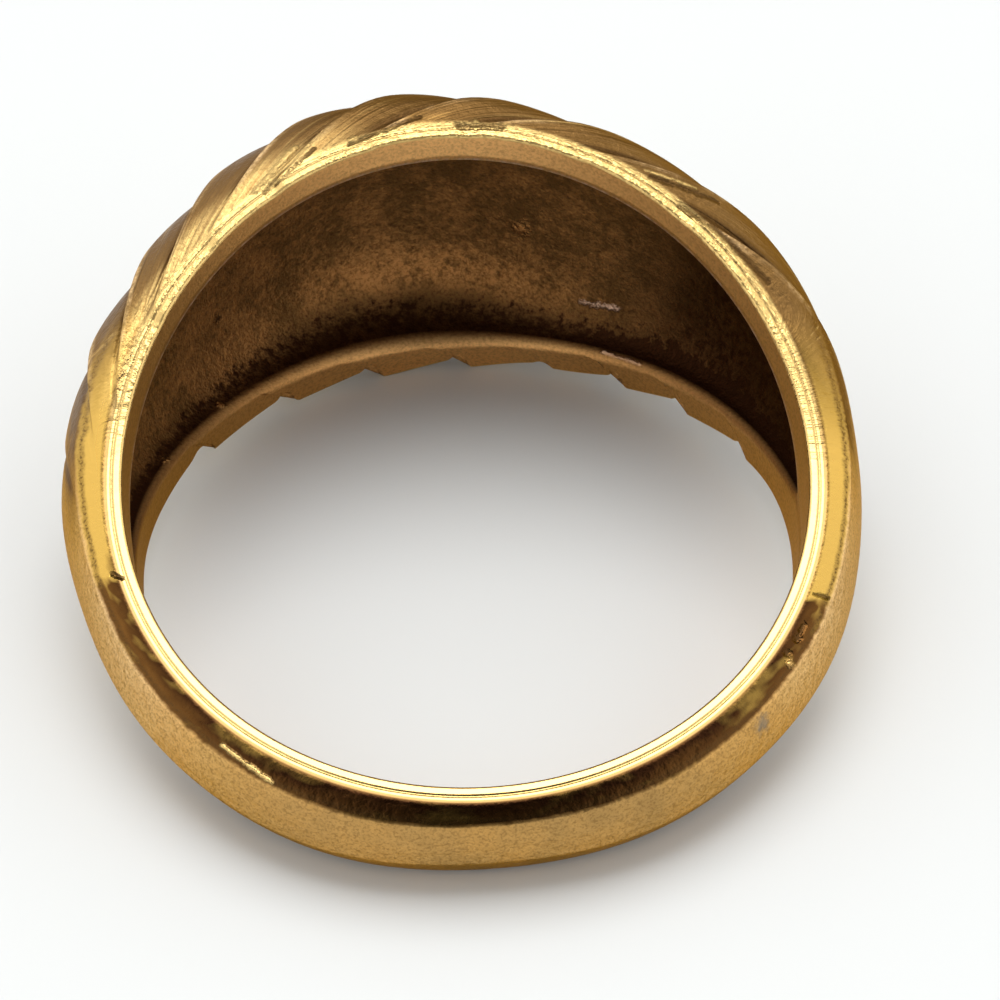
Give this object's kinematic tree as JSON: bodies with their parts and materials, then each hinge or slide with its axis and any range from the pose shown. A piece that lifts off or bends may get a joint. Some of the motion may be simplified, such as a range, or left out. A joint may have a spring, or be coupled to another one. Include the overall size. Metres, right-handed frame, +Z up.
{
  "type": "dome ring",
  "caption": "Gold-toned cast dome ring with slanting overlapping folds, lying on its side, its dome hollowed out behind.",
  "frame": {"origin": "middle of the bounding box at the floor the ring lies on", "axes": "+Z up from the floor, +Y toward the dome, -Y toward the shank, +X to the right with the shank nearest"},
  "size_m": [0.021, 0.022, 0.0101],
  "materials": {
    "gold_tone_metal": "polished rims, worn satin outside, dark rough casting in the hollow"
  },
  "bodies": {
    "root": {"ring": "gold_tone_metal"}
  },
  "joints": []
}
